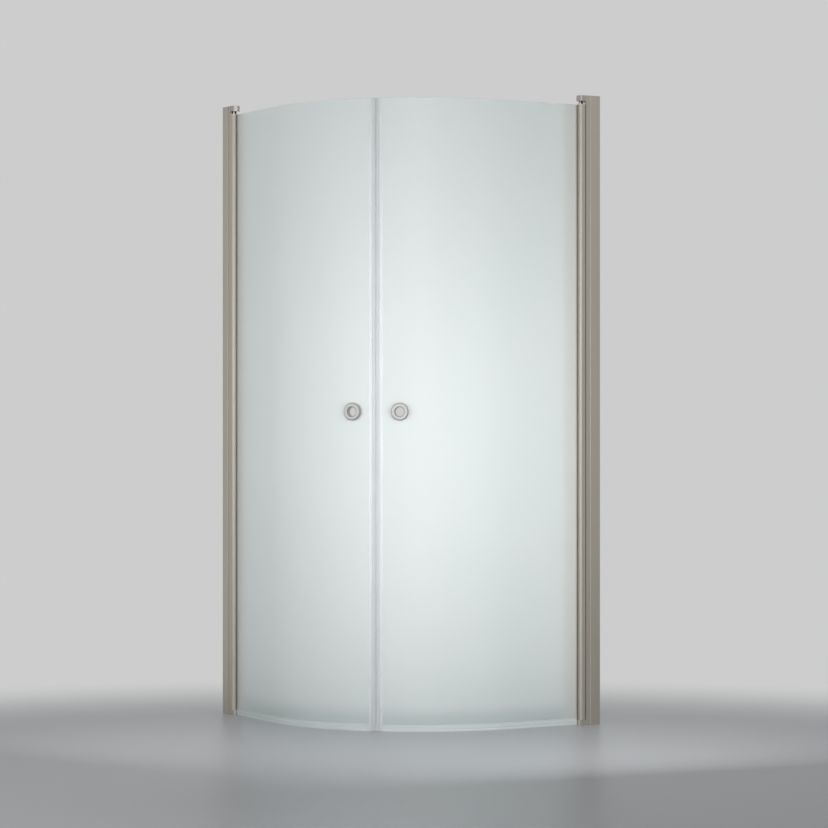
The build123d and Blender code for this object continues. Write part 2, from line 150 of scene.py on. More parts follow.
# Blocks
NOSE_R = 8.5
LOBE_R = 9.5
LOBE_AHEAD = 2.5
LOBE_INWARDS = 9.0
FOOT_NOSE_R = 10.4
FOOT_NOSE_AHEAD = 4.9
BLOCK_ROUND = 0.8
BLOCK_FOOT_ROUND = 0.2
FOOT_ROUNDS = (0.25, 0.5)
TAIL_GAP = 0.2
TAIL_ROUND = 0.4
POST_TOP_RECESS = 0.6
POCKET_R = 7.05
PIN_HEAD_SIDE = 5.8
PIN_HEAD_ROOF = 1.0
SLEEVE_SEAT = 1.95
CAM_SEAT_DEPTH = 4.05
PIN_FLOOR = 1.95
SCREW_A = CHANNEL_DEPTH + 5.5
SCREW_INSET = 11.0
SCREW_HEAD_R = 2.8
SCREW_HEAD_HEIGHT = 1.8
SCREW_HEAD_ROUND = 0.7
SCREW_SOCKET_R = 1.25
SCREW_SOCKET_FLOOR = 0.5
SCREW_TIP = 0.5
SCREW_SHANK_R = 1.5
SCREW_HOLE_R = SCREW_SHANK_R + 0.15
SCREW_LENGTH = 7.0
CLAMP_A = CHANNEL_DEPTH - 10.0
CLAMP_INSET = 150.0
CLAMP_HOLE_R = 2.15

# Door
GLASS = 6.0
GLASS_B = pane[0][1]
BEND_R = 550.0
BEND_A = OUTER - GLASS_B - BEND_R
MEETING = BEND_A + BEND_R * radians(45)
GLASS_TO_MEETING = 12.0
ARRIS = 0.5
FAN_HALF = 30.0
FAN_STEPS = 12
KNOB_Z = 995.0
KNOB_TO_MEETING = 76.4
KNOB_R = 27.5
KNOB_HOLE_R = 14.5
KNOB_PROUD = 9.5
KNOB_INNER_PROUD = 6.0
KNOB_COLLAR_R = 17.5
COLLAR_INTO_RING = 3.0
KNOB_ROUND = 3.5
KNOB_HOLE_ROUND = 2.5
GLASS_HOLE_R = 18.25
WASHER_R = 24.0
WASHER = 1.0
SEAL_WIDTH = 22.5
SEAL_SKIN = 1.0
MEETING_GAP = 0.15
CHAMBER = 8.2
MAGNET_GAP = 0.3
SWEEP_SKIN = 1.1
SWEEP_WEB = 2.6
SWEEP_FIN = 0.6
SWEEP_FIN_LIFT = 3.0
SWEEP_TO_MEETING = SEAL_WIDTH + 2 * FIT


# Outlines

def arc(centre, radius, start, end, steps):
    """Points centre + radius * (cos t, sin t), with t from start to end in degrees."""
    t = np.radians(np.linspace(start, end, steps + 1))
    return np.column_stack((centre[0] + radius * np.cos(t), centre[1] + radius * np.sin(t)))


def unit(vectors):
    """Each vector over its own length."""
    return vectors / np.linalg.norm(vectors, axis=-1, keepdims=True)


def left_of(vectors):
    """Each vector (x, y) turned left by a quarter turn: (-y, x)."""
    return np.column_stack((-vectors[:, 1], vectors[:, 0]))


def apart(outline):
    """The outline without points that repeat the one before."""
    step = np.linalg.norm(outline - np.roll(outline, 1, axis=0), axis=1)
    return outline[step > 1e-4]


def rounded(corners, radius, steps=4):
    """Closed outline whose corners are arcs: from the tangent point, go radius * sin(t) along the
    edge and radius * (1 - cos(t)) towards the turn, with t from zero to the corner's turn."""
    p = np.asarray(corners, float)
    r = np.broadcast_to(radius, len(p))[:, None]
    along = unit(p - np.roll(p, 1, axis=0))
    ahead = unit(np.roll(p, -1, axis=0) - p)
    turn = np.arctan2(along[:, 0] * ahead[:, 1] - along[:, 1] * ahead[:, 0], (along * ahead).sum(1))
    start = p - along * r * np.tan(np.abs(turn) / 2)[:, None]
    side = left_of(along) * np.sign(turn)[:, None]
    t = np.abs(turn)[:, None] * np.linspace(0, 1, steps + 1)
    go = np.sin(t)[..., None] * along[:, None] + (1 - np.cos(t))[..., None] * side[:, None]
    return apart((start[:, None] + r[..., None] * go).reshape(-1, 2))


def inset(outline, distance):
    """Each point moves inwards along the sum of its two edges' normals over one plus their cosine."""
    first = left_of(unit(outline - np.roll(outline, 1, axis=0)))
    second = left_of(unit(np.roll(outline, -1, axis=0) - outline))
    share = 1 + (first * second).sum(1, keepdims=True)
    return outline + distance * (first + second) / share


def finer(outline, step):
    """The closed outline with more points, so that no side is longer than about one step."""
    ends = np.vstack((outline, outline[:1]))
    length = np.concatenate(([0], np.cumsum(np.linalg.norm(np.diff(ends, axis=0), axis=1))))
    at = np.union1d(length, np.linspace(0, length[-1], int(length[-1] / step) + 2))[:-1]
    return np.column_stack([np.interp(at, length, ends[:, k]) for k in (0, 1)])


def box_outline(a0, a1, b0, b1):
    return np.array(((a0, b0), (a1, b0), (a1, b1), (a0, b1)), float)


# Surfaces: a shape is (points, faces) in the side frame

def skin(rings, closed=False):
    """Quads between neighbouring rings, rings[i, j]; the ends are capped, or joined if closed."""
    m, n = rings.shape[:2]
    i, j = np.meshgrid(np.arange(m if closed else m - 1), np.arange(n), indexing="ij")
    k, l = (i + 1) % m, (j + 1) % n
    faces = np.stack((i * n + j, i * n + l, k * n + l, k * n + j), -1).reshape(-1, 4).tolist()
    if not closed:
        faces += [list(range(n))[::-1], list(range((m - 1) * n, m * n))]
    return rings.reshape(-1, 3), faces


def together(*shapes):
    """Several shapes as one, with the later ones' face numbers moved on."""
    starts = np.cumsum([0] + [len(points) for points, _ in shapes])
    faces = []
    for start, (_, some) in zip(starts, shapes):
        faces += [[int(start) + k for k in face] for face in some]
    return np.vstack([points for points, _ in shapes]), faces


def raised(outline, z):
    """Points with one more coordinate that is the same for all."""
    return np.column_stack((outline, np.full(len(outline), z)))


def prism(outline, z0, z1, edge=0.0, foot_edge=None, steps=3):
    """Outline carried from z0 to z1. Near an end the ring is inset by edge * (1 - sin t) at a
    height of edge * (1 - cos t) from the end, which rounds it."""
    foot = edge if foot_edge is None else foot_edge
    t = np.radians(np.linspace(0, 90, steps + 1))
    rings = [raised(outline, z0), raised(outline, z1)]
    if foot > 0:
        low = [raised(inset(outline, foot * (1 - np.sin(u))), z0 + foot * (1 - np.cos(u))) for u in t]
        rings[:1] = low
    if edge > 0:
        top = [raised(inset(outline, edge * (1 - np.sin(u))), z1 - edge * (1 - np.cos(u))) for u in t]
        rings[-1:] = top[::-1]
    return skin(np.array(rings))


def turned(section, centre, axis, across, steps=64):
    """Closed section (r, h) turned round an axis: centre + h * axis + r * (cos t * across + sin t * up)."""
    axis, across = np.array(axis, float), np.array(across, float)
    up = np.cross(axis, across)
    t = np.linspace(0, 2 * np.pi, steps, endpoint=False)[:, None, None]
    r, h = section[None, :, :1], section[None, :, 1:]
    rings = np.array(centre) + h * axis + r * (np.cos(t) * across + np.sin(t) * up)
    return skin(rings, closed=True)


def rod(radius, centre, axis, across, h0, h1, steps=32):
    """Cylinder for cutting and for shanks, as two rings with flat ends."""
    axis, across = np.array(axis, float), np.array(across, float)
    t = np.linspace(0, 2 * np.pi, steps, endpoint=False)[None, :, None]
    h = np.array((h0, h1), float)[:, None, None]
    ring = radius * (np.cos(t) * across + np.sin(t) * np.cross(axis, across))
    return skin(np.array(centre) + h * axis + ring)


def upright_rod(radius, z0, z1, steps=48):
    """Cylinder round the pivot from z0 to z1."""
    return rod(radius, (PIVOT_A, MID_B, 0), (0, 0, 1), (1, 0, 0), z0, z1, steps)


def side_rod(radius, a, z, b0, b1, steps=24):
    """Cylinder along b at the place (a, z)."""
    return rod(radius, (a, 0, z), (0, 1, 0), (1, 0, 0), b0, b1, steps)


def plan(s, depth):
    """Point (a, b) of the door at a length s from the wall along its outer face and a depth behind
    it: straight to the bend, then at radius BEND_R - depth by the angle (s - BEND_A) / BEND_R."""
    s, depth = np.broadcast_arrays(np.asarray(s, float), np.asarray(depth, float))
    t = np.maximum(s - BEND_A, 0) / BEND_R
    a = np.minimum(s, BEND_A) + (BEND_R - depth) * np.sin(t)
    b = GLASS_B + BEND_R - (BEND_R - depth) * np.cos(t)
    return np.stack((a, b), -1)


def door_steps(start, end, bend_step=8.0, straight_step=40.0):
    """Lengths along the door, close together on the bend and wide apart on the straight part."""
    straight = np.linspace(start, BEND_A, int((BEND_A - start) / straight_step) + 2)[:-1]
    bend = np.linspace(BEND_A, end, int((end - BEND_A) / bend_step) + 2)
    return np.concatenate((straight, bend))


def carried(section, stations):
    """Closed section (depth, z) carried along the door through the given lengths."""
    place = plan(stations[:, None], section[None, :, 0])
    height = np.broadcast_to(section[None, :, 1:], place.shape[:2] + (1,))
    return skin(np.concatenate((place, height), -1))


# Objects

def on_side(points, side):
    """Side frame to the room, in metres: left (b - OUTER, -a, z), right (-a, b - OUTER, z)."""
    out, inwards = -points[:, 0], points[:, 1] - OUTER
    first, second = (inwards, out) if side == "left" else (out, inwards)
    return np.column_stack((first, second, points[:, 2])) * MM


def mesh_object(name, shape, side):
    """Mesh of a shape in the room, with its doubles merged and its faces turned outwards."""
    points, faces = shape
    mesh = bpy.data.meshes.new(name)
    mesh.from_pydata(on_side(points, side).tolist(), [], faces)
    shell = bmesh.new()
    shell.from_mesh(mesh)
    bmesh.ops.remove_doubles(shell, verts=shell.verts, dist=1e-6)
    bmesh.ops.recalc_face_normals(shell, faces=shell.faces)
    shell.to_mesh(mesh)
    shell.free()
    made = bpy.data.objects.new(name, mesh)
    bpy.context.scene.collection.objects.link(made)
    return made


def combined(target, shape, side, operation):
    """Boolean of the object with a shape, kept as a plain mesh."""
    tool = mesh_object(target.name + "_tool", shape, side)
    change = target.modifiers.new("change", "BOOLEAN")
    change.operation = operation
    change.solver = "EXACT"
    change.object = tool
    bpy.context.view_layer.update()
    graph = bpy.context.evaluated_depsgraph_get()
    result = bpy.data.meshes.new_from_object(target.evaluated_get(graph))
    target.modifiers.clear()
    old = target.data
    target.data = result
    bpy.data.meshes.remove(old)
    bpy.data.objects.remove(tool)


def piece(side, name, node, shape, finish, cuts=(), joins=(), sharp=38):
    """A finished piece in place of a CAD node: rides on the node's body, hides the node and takes the given
    finish.
    """
    made = mesh_object(side + "_" + name, shape, side)
    for extra in joins:
        combined(made, extra, side, "UNION")
    for cut in cuts:
        combined(made, cut, side, "DIFFERENCE")
    made.data.materials.clear()
    made.data.materials.append(finish)
    made.data.shade_smooth()
    made.data.set_sharp_from_angle(angle=radians(sharp))
    even = made.modifiers.new("flat faces stay flat", "WEIGHTED_NORMAL")
    even.keep_sharp = True
    node_name = side + "_" + node
    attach(made, node_bodies[node_name])
    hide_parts(node_name)
    return made


record = frame["record"]
node_bodies = {n: body for body, members in record["behaviour"]["bodies"].items() for n in members}
node_slots = {row["node"]: row["material_slot"] for row in record["subparts"]}


# Finishes

class Term:
    """An output socket whose operators add Math nodes."""

    def __init__(self, finish, socket):
        self.finish = finish
        self.socket = socket

    def maths(self, operation, first, second):
        """Adds one Math node."""
        made = self.finish.node("ShaderNodeMath", {"operation": operation}, {0: first, 1: second})
        return Term(self.finish, made.outputs[0])

    def __add__(self, other):
        return self.maths("ADD", self, other)

    def __sub__(self, other):
        return self.maths("SUBTRACT", self, other)

    def __rsub__(self, other):
        return self.maths("SUBTRACT", other, self)

    def __mul__(self, other):
        return self.maths("MULTIPLY", self, other)

    def __truediv__(self, other):
        return self.maths("DIVIDE", self, other)

    __radd__ = __add__
    __rmul__ = __mul__


class Finish:
    """A material's node tree, with one method that adds a node."""

    def __init__(self, name, tree=None):
        if tree is None:
            self.material = bpy.data.materials.new(name)
            self.material.use_nodes = True
            tree = self.material.node_tree
        self.tree = tree
        self.tree.nodes.clear()

    def node(self, kind, settings=None, inputs=None):
        """Adds a node: its settings first, then the values or links of its sockets."""
        made = self.tree.nodes.new(kind)
        for key, value in (settings or {}).items():
            setattr(made, key, value)
        for key, value in (inputs or {}).items():
            value = getattr(value, "socket", value)
            if isinstance(value, bpy.types.NodeSocket):
                self.tree.links.new(value, made.inputs[key])
            else:
                made.inputs[key].default_value = value
        return made

    def place(self, scale=(1, 1, 1)):
        """Object coordinates times a scale on each axis."""
        where = self.node("ShaderNodeTexCoord").outputs["Object"]
        return self.node("ShaderNodeMapping", {}, {"Vector": where, "Scale": scale}).outputs["Vector"]

    def noise(self, scale=(1, 1, 1), detail=2.0, roughness=0.5):
        made = self.node(
            "ShaderNodeTexNoise",
            {},
            {"Vector": self.place(scale), "Scale": 1.0, "Detail": detail, "Roughness": roughness},
        )
        return Term(self, made.outputs["Fac"])

    def blend(self, share, first, second):
        """Colour between two others by a share from zero to one."""
        made = self.node("ShaderNodeMix", {"data_type": "RGBA"}, {0: share, 6: first, 7: second})
        return made.outputs[2]

    def ease(self, value, start, end):
        """Smooth step from zero at the start to one at the end."""
        made = self.node(
            "ShaderNodeMapRange",
            {"interpolation_type": "SMOOTHSTEP"},
            {"Value": value, "From Min": start, "From Max": end},
        )
        return made.outputs["Result"]

    def bump(self, height, strength, distance):
        made = self.node(
            "ShaderNodeBump", {}, {"Height": height, "Strength": strength, "Distance": distance}
        )
        return made.outputs["Normal"]

    def surface(self, **sockets):
        """Principled surface as the output; a name's underscores stand for spaces."""
        inputs = {key.replace("_", " "): value for key, value in sockets.items()}
        shader = self.node("ShaderNodeBsdfPrincipled", {}, inputs)
        self.node("ShaderNodeOutputMaterial", {}, {"Surface": shader.outputs[0]})
        return self.material


def tone(red, green, blue, alpha=1.0):
    """Colour from its 0 to 255 screen values, as linear light."""
    c = np.array((red, green, blue), float) / 255
    linear = np.where(c <= 0.04045, c / 12.92, ((c + 0.055) / 1.055) ** 2.4)
    return (*[float(v) for v in linear], alpha)


def champagne_aluminium():
    """Anodised extrusion: fine die lines along its length and a slow change of tone."""
    f = Finish("champagne_aluminium")
    lines = f.noise((1400, 1400, 5), detail=4, roughness=0.6)
    broad = f.noise((30, 30, 1.2), detail=2)
    grain = f.noise((2600, 2600, 2600), detail=1)
    colour = f.blend(lines * 0.5 + broad * 0.5, tone(183, 177, 166), tone(203, 197, 186))
    return f.surface(
        Base_Color=colour,
        Metallic=1.0,
        Roughness=0.34 + lines * 0.12 + broad * 0.06,
        Normal=f.bump(lines * 0.8 + grain * 0.2, 0.25, 0.00012),
    )


def satin_cast():
    """Satin plated casting: soft grain, slightly warm."""
    f = Finish("satin_cast")
    grain = f.noise((1800, 1800, 1800), detail=3)
    broad = f.noise((120, 120, 120), detail=2)
    colour = f.blend(broad, tone(176, 167, 166), tone(190, 182, 180))
    return f.surface(
        Base_Color=colour,
        Metallic=1.0,
        Roughness=0.22 + grain * 0.10,
        Normal=f.bump(grain, 0.2, 0.0001),
    )


# Painted shade on the pane: the greyer tone beside the hinge fades out from 100 to 150 mm from the wall, and
# the darker tone near the floor fades out from 30 to 90 mm up.
HINGE_SHADE_SPAN = (-0.150, -0.100)
FOOT_SHADE_SPAN = (0.030, 0.090)


def satin_pane():
    """Etched glass: blue-green body, soft grain and a haze that varies slowly. It also carries painted shade:
    a greyer tone beside the hinge, where the distance from the wall, -max(x, y), is small, and a darker tone
    near the floor, standing in for the shade seen through the glass there."""
    f = Finish("satin_pane")
    grain = f.noise((900, 900, 900), detail=2)
    cloud = f.noise((2.2, 2.2, 1.4), detail=2)
    body = f.blend(cloud, tone(232, 239, 238), tone(238, 243, 242))
    where = f.node("ShaderNodeSeparateXYZ", {}, {0: f.node("ShaderNodeTexCoord").outputs["Object"]}).outputs
    nearest = f.node("ShaderNodeMath", {"operation": "MAXIMUM"}, {0: where["X"], 1: where["Y"]})
    beside = f.ease(nearest.outputs[0], *HINGE_SHADE_SPAN)
    above = f.ease(where["Z"], *FOOT_SHADE_SPAN)
    # Painted shade: greyer beside the hinge, darker near the floor.
    colour = f.blend(beside, f.blend(above, tone(218, 227, 226), body), tone(227, 229, 225))
    return f.surface(
        Base_Color=colour,
        Roughness=0.34 + cloud * 0.05 + grain * 0.04,
        Transmission_Weight=0.64,
        IOR=1.5,
        Normal=f.bump(grain, 0.12, 0.00008),
    )


def milky_plastic(name, scale, clearness, low, high):
    """Soft extruded seal: milky, with faint draw lines along its length."""
    f = Finish(name)
    lines = f.noise(scale, detail=3)
    cloud = f.noise((12, 12, 12), detail=2)
    colour = f.blend(lines * 0.2 + cloud * 0.8, low, high)
    return f.surface(
        Base_Color=colour,
        Roughness=0.24 + lines * 0.08,
        Transmission_Weight=clearness,
        IOR=1.46,
        Normal=f.bump(lines, 0.03, 0.00005),
    )


def moulded(name, low, high, roughness, scale=1500):
    """Moulded plastic or rubber: fine spark-eroded grain and a slight change of tone."""
    f = Finish(name)
    grain = f.noise((scale, scale, scale), detail=3)
    broad = f.noise((60, 60, 60), detail=2)
    return f.surface(
        Base_Color=f.blend(broad, low, high),
        Roughness=roughness - 0.05 + grain * 0.12,
        Normal=f.bump(grain, 0.3, 0.0001),
    )


def satin_steel(name, low, high, roughness):
    """Turned and satin-finished metal."""
    f = Finish(name)
    grain = f.noise((2200, 2200, 2200), detail=3)
    broad = f.noise((90, 90, 90), detail=2)
    return f.surface(
        Base_Color=f.blend(broad, low, high),
        Metallic=1.0,
        Roughness=roughness + grain * 0.10,
        Normal=f.bump(grain, 0.15, 0.00008),
    )


finishes = {
    "bronze_aluminium": champagne_aluminium(),
    "satin_block": satin_cast(),
    "satin_glass": satin_pane(),
    "clear_seal": milky_plastic(
        "clear_seal_plastic", (1200, 1200, 1.5), 0.74, tone(234, 237, 238), tone(240, 243, 244)
    ),
    "magnet": moulded("pale_magnet", tone(198, 201, 201), tone(206, 209, 209), 0.5),
    "black_rubber": moulded("black_rubber", tone(46, 47, 43), tone(60, 61, 56), 0.6),
    # Near black: a real black part, darkened further as painted shade for the sleeve seen between the crown's
    # teeth.
    "black_nylon": moulded("black_nylon", tone(3, 3, 3), tone(8, 8, 8), 0.7),
    "white_nylon": moulded("white_nylon", tone(228, 228, 222), tone(240, 240, 236), 0.4),
    "grey_plastic": moulded("grey_plastic", tone(164, 160, 152), tone(174, 170, 162), 0.45),
    "stainless": satin_steel("stainless", tone(206, 206, 204), tone(220, 220, 218), 0.24),
    "satin_knob": satin_steel("satin_knob", tone(181, 181, 178), tone(191, 191, 188), 0.3),
}
crown_finish = satin_steel("crown_steel", tone(216, 212, 207), tone(226, 222, 217), 0.3)
sweep_finish = milky_plastic(
    "milky_sweep_plastic", (1.5, 1.5, 1200), 0.4, tone(220, 227, 226), tone(227, 233, 232)
)


# Fixed pieces

def clamp_heights():
    return (CLAMP_INSET, HEIGHT / 2, HEIGHT - CLAMP_INSET)


def block_screw_heights():
    return (post[0][2] + SCREW_INSET, post[1][2] - SCREW_INSET)


def channel_extrusion(side):
    """U section with a fine line down its outer side, drilled for wall and clamp screws."""
    w, d = CHANNEL_WIDTH, CHANNEL_DEPTH
    line0, line1 = LINE_FROM_WALL, LINE_FROM_WALL + LINE_WIDTH
    corners = [
        (0, 0), (line0, 0), (line0, LINE_DEPTH), (line1, LINE_DEPTH), (line1, 0),
        (d - CHANNEL_LEAD, 0), (d, CHANNEL_LEAD), (d, CHANNEL_WALL), (CHANNEL_BACK, CHANNEL_WALL),
        (CHANNEL_BACK, w - CHANNEL_WALL), (d, w - CHANNEL_WALL), (d, w - CHANNEL_LEAD), (d - CHANNEL_LEAD, w),
        (0, w),
    ]
    rounds = [0.3, 0.12, 0.12, 0.12, 0.12, 0.3, 0.1, 0.1, 0.3, 0.3, 0.1, 0.1, 0.3, 0.3]
    outline = rounded(corners, rounds, 3)
    cuts = [
        rod(WALL_HOLE_R, (0, MID_B, z), (1, 0, 0), (0, 1, 0), -PAST, CHANNEL_BACK + PAST)
        for at in WALL_HOLE_INSETS
        for z in (at, HEIGHT - at)
    ]
    inner = w - CHANNEL_WALL - PAST
    cuts += [side_rod(CLAMP_HOLE_R, CLAMP_A, z, inner, w + PAST) for z in clamp_heights()]
    shape = prism(outline, 0, HEIGHT, 0.06, steps=1)
    return piece(
        side, "channel_extrusion", "wall_channel", shape, finishes["bronze_aluminium"], [together(*cuts)]
    )


def channel_plug(side):
    """Moulded cup that closes the channel's top, with its rim down. Over the edge the ring is inset by
    r * (1 - cos t) at a height of r * sin t."""
    outside = rounded(box_outline(plug[0][0], plug[1][0], plug[0][1], plug[1][1]), PLUG_CORNER)
    inside = inset(outside, PLUG_WALL)
    t = np.radians(np.linspace(0, 90, 4))
    r = PLUG_ROUND
    over = [raised(inset(outside, r * (1 - np.cos(u))), plug[1][2] - r + r * np.sin(u)) for u in t]
    rings = [raised(inside, plug[1][2] - PLUG_WALL), raised(inside, plug[0][2]), raised(outside, plug[0][2])]
    return piece(
        side, "channel_plug", "channel_end_cap", skin(np.array(rings + over)), finishes["grey_plastic"]
    )


def cradle_arc(radius, front):
    """Round hollow of the post's front round the pivot, from its inner to its outer end."""
    turn = np.degrees(np.arccos((PIVOT_A - front) / radius))
    return arc((PIVOT_A, MID_B), radius, 180 - turn, 180 + turn, CRADLE_STEPS)


def post_extrusion(side):
    """Hollow post as high as its channel, with a round cradle in its front for the hinge tube."""
    low, high = MID_B - POST_HALF, MID_B + POST_HALF
    front = post[1][0]
    shell = rounded([(post[0][0], low), (front, low), (front, high), (post[0][0], high)], 0.4, 3)
    split = np.argmax(shell[:, 0] > front - 1e-6)
    lower = shell[: split + 1]
    upper = shell[split + 1:]
    outline = np.vstack((lower, cradle_arc(CRADLE_R, front)[::-1], upper))
    a0, a1 = post[0][0] + POST_WALL, PIVOT_A - CRADLE_R - POST_WALL
    hollow = rounded(box_outline(a0, a1, low + POST_WALL, high - POST_WALL), 0.5)
    z0, z1 = post[0][2], HEIGHT
    cuts = [prism(hollow, z0 - PAST, z1 + PAST)]
    b0, b1 = high - POST_WALL - OVERLAP, high + PAST
    cuts += [side_rod(CLAMP_HOLE_R, CLAMP_A, z, b0, b1) for z in clamp_heights()]
    cuts += [side_rod(SCREW_HOLE_R, SCREW_A, z, b0, b1) for z in block_screw_heights()]
    shape = prism(outline, z0, z1)
    return piece(side, "post_extrusion", "post_profile", shape, finishes["bronze_aluminium"], cuts)


def tangent_angles(first, r_first, second, r_second):
    """Angles of two circles' outer tangent points in degrees: the heading from the first centre to
    the second, less and plus the arc cosine of the radii's difference over the distance."""
    gap = np.subtract(second, first)
    heading = np.degrees(np.arctan2(gap[1], gap[0]))
    lean = np.degrees(np.arccos((r_first - r_second) / np.hypot(*gap)))
    return heading - lean, heading + lean


def hull_of_two(first, r_first, second, r_second, steps=14):
    """Outer tangent hull of two circles, from the first one's lowest point round the second one."""
    start, end = tangent_angles(first, r_first, second, r_second)
    return np.vstack((arc(first, r_first, -90, start, steps), arc(second, r_second, start, end, 2 * steps)))


def tail_prism(z0, z1):
    """A block's tail: the post's hollow less TAIL_GAP all round."""
    half = POST_HALF - POST_WALL - TAIL_GAP
    a0 = post[0][0] + POST_WALL + TAIL_GAP
    a1 = PIVOT_A - CRADLE_R - POST_WALL - TAIL_GAP
    outline = rounded(box_outline(a0, a1, MID_B - half, MID_B + half), 0.5)
    return prism(outline, z0, z1, TAIL_ROUND)


def top_cap_block(side):
    """Cast cap on the post's front over the hinge, with a soft upper edge, a lobe towards the shower,
    ribs round the sleeve and a tail that closes the post's top."""
    low, high = MID_B - POST_HALF, MID_B + POST_HALF
    first = (PIVOT_A, low + NOSE_R)
    lobe = (PIVOT_A + LOBE_AHEAD, MID_B + LOBE_INWARDS)
    nose = hull_of_two(first, NOSE_R, lobe, LOBE_R)
    end = tangent_angles(first, NOSE_R, lobe, LOBE_R)[1]
    back_tangent = arc(first, NOSE_R, end, end, 0)[0]
    lobe_end = nose[-1]
    share = (high - lobe_end[1]) / (back_tangent[1] - lobe_end[1])
    meet = lobe_end + share * (back_tangent - lobe_end)
    front = post[1][0] + FIT
    back = cradle_arc(CRADLE_R - FIT, front)
    outline = apart(np.vstack(([(front, low)], nose, [meet], [(front, high)], back)))
    z0, z1 = post[1][2], HEIGHT
    shape = prism(outline, z0, z1, BLOCK_ROUND, BLOCK_FOOT_ROUND, steps=4)
    half = PIN_HEAD_SIDE / 2
    pin_hole = box_outline(PIVOT_A - half, PIVOT_A + half, MID_B - half, MID_B + half)
    cuts = [
        upright_rod(POCKET_R, z0 - PAST, z0 + SLEEVE_SEAT),
        prism(pin_hole, z0 + SLEEVE_SEAT - OVERLAP, z1 - PIN_HEAD_ROOF),
    ]
    rib_foot = tube[1][2] + COLLAR_ABOVE_CROWN + RIB_ABOVE_COLLAR
    ribs = crown_teeth(*RIB_R, RIB_ANGLE, rib_foot, z0 + OVERLAP)
    tail = tail_prism(block_top[0][2], z1 - POST_TOP_RECESS)
    return piece(side, "top_cap_block", "top_block", shape, finishes["satin_block"], cuts, [tail, *ribs])


def foot_block(side):
    """Foot under the post, flush outside, with a round nose under the tube."""
    low, high = MID_B - POST_HALF, MID_B + POST_HALF
    centre = (PIVOT_A + FOOT_NOSE_AHEAD, low + FOOT_NOSE_R)
    turn = 180 - np.degrees(np.arcsin((high - centre[1]) / FOOT_NOSE_R))
    nose = arc(centre, FOOT_NOSE_R, -90, turn, 28)
    outline = np.vstack(([(post[0][0], low)], nose, [(post[0][0], high)]))
    z1 = post[0][2]
    shape = prism(outline, 0, z1, *FOOT_ROUNDS)
    cuts = [
        upright_rod(POCKET_R, z1 - CAM_SEAT_DEPTH, z1 + PAST),
        upright_rod(PIN_R + FIT, PIN_FLOOR, z1),
    ]
    tail = tail_prism(z1 - OVERLAP, block_foot[1][2])
    return piece(side, "foot_block", "bottom_block", shape, finishes["bronze_aluminium"], cuts, [tail])


def pin_sleeve(side):
    """Black sleeve in the gap under the top cap, with a wider collar just under the cap. The sleeve is a real
    black part, and its near-black tone and wide collar also serve as painted shade in the gaps between the
    crown's teeth.
    """
    r0, r1 = SLEEVE_R
    z0, z1 = sleeve[0][2], sleeve[1][2]
    collar0, collar1 = tube[1][2] + COLLAR_ABOVE_CROWN, post[1][2] - FIT
    corners = [
        (r0, z0), (r1, z0), (r1, collar0), (COLLAR_R, collar0), (COLLAR_R, collar1), (r1, collar1),
        (r1, z1), (r0, z1),
    ]
    section = rounded(corners, [0.2, 0.5, 0.1, 0.2, 0.1, 0.1, 0.3, 0.2])
    shape = turned(section, (PIVOT_A, MID_B, 0), (0, 0, 1), (1, 0, 0), 48)
    return piece(side, "pin_sleeve", "top_sleeve", shape, finishes["black_nylon"])


def crown_teeth(r0, r1, angle, z0, z1):
    """Six upright teeth or ribs round the pivot: arcs between two radii, each of the given angle."""
    centre = (PIVOT_A, MID_B)
    teeth = []
    for k in range(CROWN_TEETH):
        middle = 360 / CROWN_TEETH * (k + 0.5)
        outside = arc(centre, r1, middle - angle / 2, middle + angle / 2, 6)
        inside = arc(centre, r0, middle + angle / 2, middle - angle / 2, 6)
        teeth.append(prism(np.vstack((outside, inside)), z0, z1, 0.3))
    return teeth


def crown_ring(side):
    """Bearing ring on the tube's head with six upright teeth."""
    z0, z1 = crown[0][2], crown[1][2]
    outer_r = (crown[1][0] - crown[0][0]) / 2
    top = z0 + CROWN_BASE
    section = rounded([(BORE_R + FIT, z0), (outer_r, z0), (outer_r, top), (BORE_R + FIT, top)], 0.25)
    base = turned(section, (PIVOT_A, MID_B, 0), (0, 0, 1), (1, 0, 0), 72)
    teeth = crown_teeth(*CROWN_TOOTH_R, CROWN_TOOTH_ANGLE, z0 + CROWN_BASE / 2, z1)
    return piece(side, "crown_ring", "top_crown", base, crown_finish, joins=teeth)


def screw_covers(side):
    """Three push-on covers whose face falls by COVER_DOME * (distance / radius) squared."""
    b0, b1 = covers[0][1], covers[1][1]
    r = (covers[1][0] - covers[0][0]) / 2
    height = b1 - b0
    dome = np.linspace(0, r - COVER_ROUND, 6)
    face = np.column_stack((dome, height - COVER_DOME * (dome / r) ** 2))
    edge = arc((r - COVER_ROUND, height - COVER_EDGE_DROP), COVER_ROUND, 85, 0, 4)
    outer = np.vstack((face, edge, [(r, 0)]))
    r_in, roof = r - COVER_WALL, height - COVER_ROOF
    inner = np.array([(r_in, 0), (r_in, roof), (0, roof)])
    section = np.vstack((outer, inner))
    shapes = [lathe_closed(section, (CLAMP_A, b0, z)) for z in clamp_heights()]
    return piece(side, "screw_covers", "screw_caps", together(*shapes), finishes["grey_plastic"])


def lathe_closed(section, centre):
    """Section (r, h) from one point on the axis to another, turned round the inward axis."""
    t = np.linspace(0, 2 * np.pi, 40, endpoint=False)[:, None, None]
    r, h = section[None, :, :1], section[None, :, 1:]
    points = np.array(centre) + h * np.array((0, 1, 0)) + r * (
        np.cos(t) * np.array((1, 0, 0)) + np.sin(t) * np.array((0, 0, 1))
    )
    m, n = points.shape[:2]
    i, j = np.meshgrid(np.arange(m), np.arange(n - 1), indexing="ij")
    k = (i + 1) % m
    quads = np.stack((i * n + j, i * n + j + 1, k * n + j + 1, k * n + j), -1).reshape(-1, 4)
    return points.reshape(-1, 3), quads.tolist()


